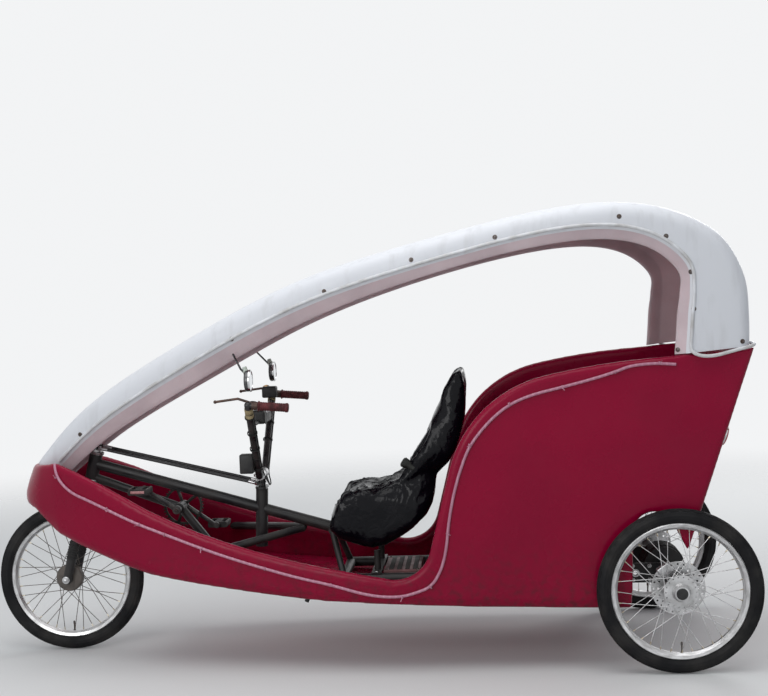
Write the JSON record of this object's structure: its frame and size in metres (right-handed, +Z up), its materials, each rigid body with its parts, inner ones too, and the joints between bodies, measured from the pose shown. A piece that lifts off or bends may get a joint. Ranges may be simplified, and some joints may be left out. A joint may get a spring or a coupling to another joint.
{
  "type": "cycle rickshaw",
  "caption": "Pedal cab with a moulded tub body, a rider's seat in front, a bench under a curved hood and a roof spine to the nose.",
  "frame": {"origin": "on the floor, on the centre plane, midway between the front of the front tyre and the rear of the rear tyres", "axes": "+X towards the rear, +Y to the vehicle's right, +Z up"},
  "size_m": [3.05, 1.1, 1.759],
  "materials": {
    "body": "satin",
    "roof": "satin",
    "frame": "satin",
    "housing": "satin",
    "upholstery": "matte",
    "seat_cover": "glossy",
    "step": "matte",
    "mirror_shell": "satin",
    "lamp": "glossy",
    "tyre": "matte",
    "rim": "satin",
    "dark_hub": "satin",
    "bright": "satin",
    "grip": "matte",
    "console": "matte",
    "rod": "satin",
    "lever": "satin",
    "crank": "satin",
    "pedal": "matte"
  },
  "bodies": {
    "chassis": {"main_tube": "frame", "lower_tube": "frame", "head_tube": "frame", "bottom_bracket": "frame", "column_sleeve": "frame", "floor_rails": "frame", "sill_braces": "frame", "seat_legs": "frame", "rear_axle": "frame", "axle_brackets": "frame", "drive_housing": "housing", "brake_calipers": "bright", "nose_cowl": "body", "sill_left": "body", "sill_right": "body", "cabin_side_left": "body", "cabin_side_right": "body", "rear_panel": "body", "tub_floor": "body", "bench_base": "body", "bench_cushion": "upholstery", "backrest_cushion": "upholstery", "step_box": "step", "roof_spine": "roof", "roof_hood": "roof", "rider_seat": "seat_cover", "mirror_left": "mirror_shell", "mirror_right": "mirror_shell", "tail_lamps": "lamp", "floor_stub": "frame"},
    "fork": {"fork": "frame", "steering_plate": "bright"},
    "front_wheel": {"front_tyre": "tyre", "front_rim": "rim", "front_hub": "dark_hub"},
    "handlebar": {"handlebar_column": "frame", "handlebar": "frame", "grips": "grip", "console": "console", "brake_levers": "lever"},
    "steering_rod_left": {"steering_rod_left": "rod"},
    "steering_rod_right": {"steering_rod_right": "rod"},
    "crankset": {"crankset": "crank"},
    "pedal_left": {"pedal_left": "pedal"},
    "pedal_right": {"pedal_right": "pedal"},
    "rear_wheel_left": {"rear_left_tyre": "tyre", "rear_left_rim": "rim", "rear_left_hub": "bright"},
    "rear_wheel_right": {"rear_right_tyre": "tyre", "rear_right_rim": "rim", "rear_right_hub": "bright"}
  },
  "joints": [
    {"name": "fork_steer", "type": "hinge", "parent": "chassis", "child": "fork", "pos_m": [-1.08985, 0, 0.827], "axis": [0.2419, 0, 0.9703], "range_deg": [-40, 40]},
    {"name": "front_wheel_spin", "type": "hinge", "parent": "fork", "child": "front_wheel", "pos_m": [-1.22, 0, 0.305], "axis": [0, 1, 0], "continuous": true},
    {"name": "handlebar_steer", "type": "hinge", "parent": "chassis", "child": "handlebar", "pos_m": [-0.40162, 0, 0.65177], "axis": [0.0436, 0, 0.999], "range_deg": [-40, 40]},
    {"name": "rod_left_swing", "type": "hinge", "parent": "fork", "child": "steering_rod_left", "pos_m": [-1.08494, -0.035, 0.8467], "axis": [0.2419, 0, 0.9703], "range_deg": [-40, 40]},
    {"name": "rod_right_swing", "type": "hinge", "parent": "fork", "child": "steering_rod_right", "pos_m": [-1.08494, 0.035, 0.8467], "axis": [0.2419, 0, 0.9703], "range_deg": [-40, 40]},
    {"name": "crank_spin", "type": "hinge", "parent": "chassis", "child": "crankset", "pos_m": [-0.746, 0, 0.583], "axis": [0, 1, 0], "continuous": true},
    {"name": "pedal_left_spin", "type": "hinge", "parent": "crankset", "child": "pedal_left", "pos_m": [-0.8803, -0.12, 0.67359], "axis": [0, 1, 0], "continuous": true},
    {"name": "pedal_right_spin", "type": "hinge", "parent": "crankset", "child": "pedal_right", "pos_m": [-0.6117, 0.12, 0.49241], "axis": [0, 1, 0], "continuous": true},
    {"name": "rear_wheel_left_spin", "type": "hinge", "parent": "chassis", "child": "rear_wheel_left", "pos_m": [1.22, -0.495, 0.305], "axis": [0, 1, 0], "continuous": true},
    {"name": "rear_wheel_right_spin", "type": "hinge", "parent": "chassis", "child": "rear_wheel_right", "pos_m": [1.22, 0.495, 0.305], "axis": [0, 1, 0], "continuous": true}
  ],
  "couplings": [
    {"joint": "handlebar_steer", "follows": "fork_steer", "ratio": 1},
    {"joint": "rod_left_swing", "follows": "fork_steer", "ratio": -1},
    {"joint": "rod_right_swing", "follows": "fork_steer", "ratio": -1}
  ]
}
